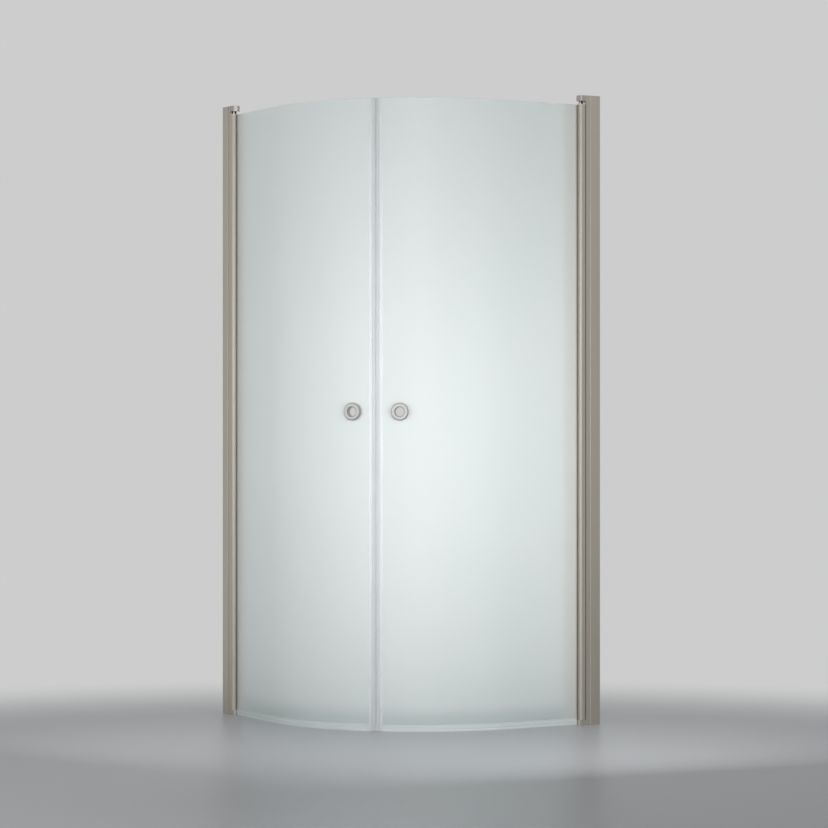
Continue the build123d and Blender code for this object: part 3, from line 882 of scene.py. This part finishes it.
def block_screw_heads(side):
    """Two small pan-head screws with hexagon sockets."""
    b0 = MID_B + POST_HALF
    r = SCREW_HEAD_ROUND
    head = arc((SCREW_HEAD_R - r, SCREW_HEAD_HEIGHT - r), r, 90, 0, 4)
    shank = [(SCREW_HEAD_R, 0), (SCREW_SHANK_R, 0), (SCREW_SHANK_R, -SCREW_LENGTH + SCREW_TIP)]
    tip = [(SCREW_SHANK_R - SCREW_TIP, -SCREW_LENGTH), (0, -SCREW_LENGTH)]
    section = np.vstack(([(0, SCREW_HEAD_HEIGHT)], head, shank, tip))
    socket0, socket1 = b0 + SCREW_SOCKET_FLOOR, b0 + SCREW_HEAD_HEIGHT + PAST
    shapes = [lathe_closed(section, (SCREW_A, b0, z)) for z in block_screw_heights()]
    cuts = [side_rod(SCREW_SOCKET_R, SCREW_A, z, socket0, socket1, steps=6) for z in block_screw_heights()]
    shape, cut = together(*shapes), together(*cuts)
    return piece(side, "block_screw_heads", "block_screws", shape, finishes["stainless"], [cut])


# Door pieces

def tube_extrusion(side):
    """Round stile with a jaw for the glass edge: the circle, the lip, the slot and the jaw's two rounds
    as one outline. The jaw's back round meets the circle where both radii end in the same point."""
    jaw_b = tube[1][1] - MID_B
    jaw_a = tube[1][0] - PIVOT_A
    slot_b0 = gasket[0][1] - SLOT_GAP - MID_B
    slot_b1 = gasket[1][1] + SLOT_GAP - MID_B
    r = JAW_ROUND
    corner = (-JAW_BEHIND + r, jaw_b - r)
    far = np.hypot(*corner)
    lift = (TUBE_R ** 2 - far ** 2 - r ** 2) / (2 * r * far)
    start = np.degrees(np.arcsin(lift) + np.arctan2(corner[0], -corner[1]) + np.pi / 2)
    circle_top = np.array(corner) + r * np.array((np.cos(np.radians(start)), np.sin(np.radians(start))))
    round_from = np.degrees(np.arctan2(circle_top[1], circle_top[0]))
    lip_b = slot_b0 - OUTER_LIP
    round_to = np.degrees(np.arcsin(lip_b / TUBE_R)) + 360
    body = arc((0, 0), TUBE_R, round_from, round_to, 60)
    lip = [(TUBE_R, lip_b), (jaw_a, lip_b), (jaw_a, slot_b0)]
    slot = [(SLOT_AHEAD, slot_b0), (SLOT_AHEAD, slot_b1), (jaw_a, slot_b1)]
    inner = rounded(lip + slot, [0, 0.45, 0.45, 0.3, 0.3, 0], 3)
    right = arc((jaw_a - r, jaw_b - r), r, 0, 90, 8)
    left = arc(corner, r, 90, start, 8)
    outline = apart(np.vstack((body, inner, right, left))) + (PIVOT_A, MID_B)
    shape = prism(outline, tube[0][2], tube[1][2])
    bore = upright_rod(BORE_R, tube[0][2] - PAST, tube[1][2] + PAST, 56)
    return piece(side, "tube_extrusion", "hinge_tube", shape, finishes["bronze_aluminium"], [bore])


def gasket_channel(side):
    """Rubber channel round the glass edge, whose two lips swell a little outside the jaw."""
    a0, a1 = gasket[0][0], tube[1][0] + RUBBER_PROUD
    b0, b1 = gasket[0][1], gasket[1][1]
    g0, g1 = GLASS_B - SLOT_GAP, GLASS_B + GLASS + SLOT_GAP
    web = a0 + GASKET_WEB
    corners = [(a0, b0), (a1, b0), (a1, g0), (web, g0), (web, g1), (a1, g1), (a1, b1), (a0, b1)]
    outline = rounded(corners, [0.3, 0.6, 0.5, 0.2, 0.2, 0.5, 0.6, 0.3], 4)
    shape = prism(outline, gasket[0][2], gasket[1][2], 0.3)
    return piece(side, "gasket_channel", "glass_gasket", shape, finishes["black_rubber"])


def flat_pane(stations, heights, centre, half, radius, steps):
    """Flat sheet (s, z) as a grid with a square left out, and in the square rings that go evenly
    from its sides to a round hole. Returns the points, the quads and the hole's ring."""
    s, z = np.meshgrid(stations, heights, indexing="ij")
    m, n = s.shape
    i, j = np.meshgrid(np.arange(m - 1), np.arange(n - 1), indexing="ij")
    middle_s = (s[:-1, :-1] + s[1:, :-1]) / 2 - centre[0]
    middle_z = (z[:-1, :-1] + z[:-1, 1:]) / 2 - centre[1]
    keep = (np.abs(middle_s) > half) | (np.abs(middle_z) > half)
    quads = np.stack((i * n + j, (i + 1) * n + j, (i + 1) * n + j + 1, i * n + j + 1), -1)[keep]
    t = np.linspace(-1, 1, steps + 1)[:-1]
    foot = np.column_stack((t, -np.ones(steps)))
    square = half * np.vstack((foot, left_of(foot), -foot, -left_of(foot)))
    circle = radius * unit(square)
    share = np.linspace(0, 1, 6)[:, None, None]
    rings = (1 - share) * square + share * circle + np.array(centre)
    k = rings.shape[1]
    p, q = np.meshgrid(np.arange(len(share) - 1), np.arange(k), indexing="ij")
    q1 = (q + 1) % k
    patch = np.stack((p * k + q, p * k + q1, (p + 1) * k + q1, (p + 1) * k + q), -1).reshape(-1, 4)
    points = np.vstack((np.column_stack((s.ravel(), z.ravel())), rings.reshape(-1, 2)))
    return points, np.vstack((quads, patch + m * n)).tolist(), rings[-1]


def on_door(flat, depth):
    """Points (s, z) of the flat sheet on the bent door, at a depth behind its outer face."""
    return np.column_stack((plan(flat[:, 0], depth), flat[:, 1]))


def glass_pane(side):
    """Bent pane with arrised edges and a drilled, chamfered hole for the ring pull."""
    s0, s1 = pane[0][0] + ARRIS, MEETING - GLASS_TO_MEETING - ARRIS
    z0, z1 = pane[0][2] + ARRIS, pane[1][2] - ARRIS
    centre = (MEETING - KNOB_TO_MEETING, KNOB_Z)
    beside = np.linspace(centre[0] - FAN_HALF, centre[0] + FAN_HALF, FAN_STEPS + 1)
    stations = np.concatenate((door_steps(s0, beside[0])[:-1], beside, np.linspace(beside[-1], s1, 6)[1:]))
    above = np.linspace(KNOB_Z - FAN_HALF, KNOB_Z + FAN_HALF, FAN_STEPS + 1)
    heights = np.concatenate((np.linspace(z0, above[0], 9)[:-1], above, np.linspace(above[-1], z1, 9)[1:]))
    flat, quads, hole = flat_pane(stations, heights, centre, FAN_HALF, GLASS_HOLE_R + ARRIS, FAN_STEPS)
    front = on_door(flat, 0.0), quads
    back = on_door(flat, GLASS), quads
    foot, head = (raised(stations[:, None], z) for z in (z0, z1))
    wall_side, meeting_side = (raised(heights[:, None], s)[:, ::-1] for s in (s0, s1))
    rim = np.vstack((foot[:-1], meeting_side[:-1], head[:0:-1], wall_side[:0:-1]))
    wide = rim + ARRIS * (np.where(rim == (s1, z1), 1, 0) - np.where(rim == (s0, z0), 1, 0))
    levels = ((rim, 0.0), (wide, ARRIS), (wide, GLASS - ARRIS), (rim, GLASS))
    edge = band([on_door(loop, depth) for loop, depth in levels])
    narrow = np.array(centre) + (hole - np.array(centre)) * GLASS_HOLE_R / (GLASS_HOLE_R + ARRIS)
    levels = ((hole, 0.0), (narrow, ARRIS), (narrow, GLASS - ARRIS), (hole, GLASS))
    drilled = band([on_door(loop, depth) for loop, depth in levels])
    shape = together(front, back, edge, drilled)
    return piece(side, "satin_pane", "glass", shape, finishes["satin_glass"])


def band(loops):
    """Quads between loops that are closed round, with no caps."""
    rings = np.array(loops)
    points, faces = skin(rings)
    return points, faces[:-2]


def meeting_seal(side):
    """Clear seal clipped on the pane's meeting edge: two legs, a web and a magnet chamber."""
    far, near = MEETING - SEAL_WIDTH, MEETING - MEETING_GAP
    depth0, depth1 = -SEAL_SKIN - FIT, GLASS + SEAL_SKIN + FIT
    outline = rounded(box_outline(far, near, depth0, depth1), [0.45, 0.5, 0.5, 0.45])
    shape = door_prism(outline, seal[0][2], seal[1][2], 0.2)
    chamber_far = MEETING - SEAL_SKIN - CHAMBER
    chamber = box_outline(chamber_far, near - SEAL_SKIN, depth0 + SEAL_SKIN, depth1 - SEAL_SKIN)
    clip = box_outline(far - PAST, MEETING - GLASS_TO_MEETING + FIT, -FIT, GLASS + FIT)
    z0, z1 = seal[0][2] - PAST, seal[1][2] + PAST
    cuts = [door_prism(rounded(chamber, 0.4), z0, z1), door_prism(clip, z0, z1)]
    return piece(side, "meeting_seal", "magnet_seal", shape, finishes["clear_seal"], cuts)


def door_prism(outline, z0, z1, edge=0.0):
    """Outline (s, depth) made finer, bent with the door and carried from z0 to z1."""
    fine = finer(outline, 4.0)
    return prism(plan(fine[:, 0], fine[:, 1]), z0, z1, edge)


def magnet_bar(side):
    """Magnet strip in the seal's chamber."""
    near = MEETING - MEETING_GAP - SEAL_SKIN - MAGNET_GAP
    far = MEETING - SEAL_SKIN - CHAMBER + MAGNET_GAP
    depth0, depth1 = -FIT + MAGNET_GAP, GLASS + FIT - MAGNET_GAP
    outline = rounded(box_outline(far, near, depth0, depth1), 0.6)
    shape = door_prism(outline, magnet[0][2], magnet[1][2], 0.2)
    return piece(side, "magnet_bar", "magnet_strip", shape, finishes["magnet"])


def door_sweep(side):
    """Clear strip clipped on the pane's lower edge: two legs, a web and two fins that thin downwards,
    as one section (depth, z) carried along the door."""
    z0, z1 = sweep[0][2], sweep[1][2]
    web1 = pane[0][2] - FIT
    web0 = web1 - SWEEP_WEB
    out0, in1 = -SWEEP_SKIN - FIT, GLASS + SWEEP_SKIN + FIT
    fin0 = z0 + SWEEP_FIN_LIFT
    corners = [
        (out0, z0), (out0 + SWEEP_FIN, z0), (-FIT, web0), (GLASS + FIT, web0), (in1 - SWEEP_FIN, fin0),
        (in1, fin0), (in1, z1), (GLASS + FIT, z1), (GLASS + FIT, web1), (-FIT, web1), (-FIT, z1), (out0, z1),
    ]
    rounds = [0.2, 0.2, 0.7, 0.7, 0.2, 0.2, 0.35, 0.35, 0.2, 0.2, 0.35, 0.35]
    stations = door_steps(sweep[0][0], MEETING - SWEEP_TO_MEETING)
    shape = carried(rounded(corners, rounds, 3), stations)
    return piece(side, "door_sweep", "bottom_sweep", shape, sweep_finish)


def knob_axes():
    """Centre on the outer face, outward axis and the direction along the door at the ring pull."""
    t = (MEETING - KNOB_TO_MEETING - BEND_A) / BEND_R
    a, b = plan(MEETING - KNOB_TO_MEETING, 0.0)
    return (a, b, KNOB_Z), (np.sin(t), -np.cos(t), 0), (np.cos(t), np.sin(t), 0)


def inner_seat():
    """Depth of the flat inner washer past the hollow inner face of the pane."""
    return -GLASS - WASHER_R ** 2 / (2 * (BEND_R - GLASS)) - FIT


def outer_pull_ring(side):
    """Outer ring with a soft crown, and the collar that passes through the pane."""
    back = WASHER + 2 * FIT
    face = back + KNOB_PROUD
    end = inner_seat() - WASHER - FIT - COLLAR_INTO_RING
    corners = [
        (KNOB_HOLE_R, end), (KNOB_COLLAR_R, end), (KNOB_COLLAR_R, back), (KNOB_R, back), (KNOB_R, face),
        (KNOB_HOLE_R, face),
    ]
    section = rounded(corners, [0.3, 0.3, 0.2, 0.5, KNOB_ROUND, KNOB_HOLE_ROUND], 8)
    shape = turned(section, *knob_axes(), 96)
    return piece(side, "outer_pull_ring", "knob_outer_ring", shape, finishes["satin_knob"], sharp=50)


def inner_pull_ring(side):
    """Inner ring, with a seat for the collar's end."""
    back = inner_seat() - WASHER - FIT
    face = back - KNOB_INNER_PROUD
    seat = back - COLLAR_INTO_RING - FIT
    corners = [
        (KNOB_HOLE_R, face), (KNOB_R, face), (KNOB_R, back), (KNOB_COLLAR_R + FIT, back),
        (KNOB_COLLAR_R + FIT, seat), (KNOB_HOLE_R, seat),
    ]
    section = rounded(corners, [KNOB_HOLE_ROUND, KNOB_ROUND, 0.5, 0.2, 0.2, 0.1], 8)
    shape = turned(section, *knob_axes(), 96)
    return piece(side, "inner_pull_ring", "knob_inner_ring", shape, finishes["satin_knob"], sharp=50)


def pull_washers(side):
    """Clear washers between the rings and the pane."""
    shapes = []
    r0 = KNOB_COLLAR_R + FIT
    for h0 in (FIT, inner_seat() - WASHER):
        section = rounded(box_outline(r0, WASHER_R, h0, h0 + WASHER), 0.25)
        shapes.append(turned(section, *knob_axes(), 72))
    return piece(side, "pull_washers", "knob_washers", together(*shapes), finishes["clear_seal"])


makers = (
    channel_extrusion, channel_plug, post_extrusion, top_cap_block, foot_block, pin_sleeve, crown_ring,
    screw_covers, block_screw_heads, tube_extrusion, gasket_channel, glass_pane, meeting_seal, magnet_bar,
    door_sweep, outer_pull_ring, inner_pull_ring, pull_washers,
)
for side in ("left", "right"):
    for make in makers:
        make(side)

# The solids take the same finishes.
for name, node in frame["nodes"].items():
    node.data.materials.clear()
    node.data.materials.append(finishes[node_slots[name]])

# A clear piece would cast a full shadow, though real etched glass and clear plastic let light through.
see_through = ("satin_pane", "meeting_seal", "door_sweep", "pull_washers")
for made in bpy.context.scene.objects:
    if made.type == "MESH" and made.name.endswith(see_through):
        made.visible_shadow = False


# Floor, backdrop, lamps and camera

BACKDROP = tone(204, 205, 204)
FLOOR_TONE = tone(170, 172, 175)
FLOOR_CENTRE = (-1.6, -2.4, 0)
FLOOR_FADE = (2.35, 3.7)
SOFT_TONE = tone(206, 208, 212)
SOFT_LEVEL = 0.47


def pale_floor():
    """Round floor (r cos t, r sin t, 0), whose own shade gives way to the backdrop's tone with distance."""
    rings, spokes = 40, 128
    r = np.concatenate(([0.0], np.geomspace(0.3, 60, rings)))[:, None]
    t = np.linspace(0, 2 * np.pi, spokes, endpoint=False)[None, :]
    points = raised(np.stack((r * np.cos(t), r * np.sin(t)), -1).reshape(-1, 2), 0)
    m, n = rings + 1, spokes
    i, j = np.meshgrid(np.arange(m - 1), np.arange(n), indexing="ij")
    j1 = (j + 1) % n
    quads = np.stack((i * n + j, (i + 1) * n + j, (i + 1) * n + j1, i * n + j1), -1).reshape(-1, 4)
    mesh = bpy.data.meshes.new("floor")
    mesh.from_pydata(points.tolist(), [], quads.tolist())
    made = bpy.data.objects.new("floor", mesh)
    bpy.context.scene.collection.objects.link(made)
    f = Finish("pale_floor")
    where = f.node("ShaderNodeTexCoord").outputs["Object"]
    centre = f.node("ShaderNodeVectorMath", {"operation": "SUBTRACT"}, {0: where, 1: FLOOR_CENTRE})
    far = f.node("ShaderNodeVectorMath", {"operation": "LENGTH"}, {0: centre.outputs[0]})
    share = f.ease(far.outputs["Value"], *FLOOR_FADE)
    lit = f.node("ShaderNodeBsdfPrincipled", {}, {"Base Color": FLOOR_TONE, "Roughness": 0.35})
    plain = f.node("ShaderNodeEmission", {}, {"Color": BACKDROP, "Strength": 1.0})
    mixed = f.node("ShaderNodeMixShader", {}, {0: share, 1: lit.outputs[0], 2: plain.outputs[0]})
    f.node("ShaderNodeOutputMaterial", {}, {"Surface": mixed.outputs[0]})
    mesh.materials.append(f.material)


def studio_world():
    """Plain backdrop for what the camera, gloss and glass see, and a softer level as light."""
    world = bpy.data.worlds.new("studio")
    bpy.context.scene.world = world
    world.use_nodes = True
    f = Finish("studio", world.node_tree)
    path = f.node("ShaderNodeLightPath")
    seen = Term(f, path.outputs["Is Camera Ray"]) + Term(f, path.outputs["Is Glossy Ray"])
    seen = seen + Term(f, path.outputs["Is Transmission Ray"])
    share = f.node("ShaderNodeMath", {"operation": "MINIMUM"}, {0: seen, 1: 1.0})
    soft = f.node("ShaderNodeBackground", {}, {"Color": SOFT_TONE, "Strength": SOFT_LEVEL})
    plain = f.node("ShaderNodeBackground", {}, {"Color": BACKDROP, "Strength": 1.0})
    mixed = f.node("ShaderNodeMixShader", {}, {0: share.outputs[0], 1: soft.outputs[0], 2: plain.outputs[0]})
    f.node("ShaderNodeOutputWorld", {}, {"Surface": mixed.outputs[0]})


def softbox(name, at, aim, width, height, level, in_gloss=True, as_light=True):
    """Rectangular lamp whose face has the given level, where 1 is white: power = level * pi * area."""
    lamp = bpy.data.lights.new(name, "AREA")
    lamp.shape = "RECTANGLE"
    lamp.size = width
    lamp.size_y = height
    lamp.energy = level * pi * width * height
    made = bpy.data.objects.new(name, lamp)
    made.location = at
    made.rotation_euler = (Vector(aim) - Vector(at)).to_track_quat("-Z", "Y").to_euler()
    made.visible_camera = False
    made.visible_transmission = False
    made.visible_glossy = in_gloss
    made.visible_diffuse = as_light
    bpy.context.scene.collection.objects.link(made)


def camera():
    """Level camera at the photograph's viewing angle; the lens is the fitted focal length in pixels
    times the sensor's width over the picture's width."""
    focal_px, picture_px, sensor = 2749.5, 828, 36.0
    place, heading = (-4.914, -8.169, 0.988), (0.5026, 0.8645, 0)
    data = bpy.data.cameras.new("camera")
    data.sensor_width = sensor
    data.lens = focal_px * sensor / picture_px
    data.clip_end = 200
    made = bpy.data.objects.new("camera", data)
    made.location = place
    made.rotation_euler = Vector(heading).to_track_quat("-Z", "Y").to_euler()
    bpy.context.scene.collection.objects.link(made)
    bpy.context.scene.camera = made


pale_floor()
studio_world()
softbox("panel", (-2.94, -2.0, 1.1), (-0.7, -0.7, 1.0), 2.4, 1.7, 0.95)
softbox("tube_strip", (-1.59, -2.46, 1.3), (-0.6, -0.6, 1.3), 0.35, 2.5, 1.8, True, False)
softbox("right_glow", (-0.55, -2.0, 0.9), (-0.4, -0.85, 0.9), 1.0, 1.0, 3.8, False)
softbox("left_glow", (-1.8, -0.95, 0.95), (-0.84, -0.55, 0.9), 0.7, 1.0, 2.5, False)
camera()
bpy.context.scene.view_settings.view_transform = "Standard"
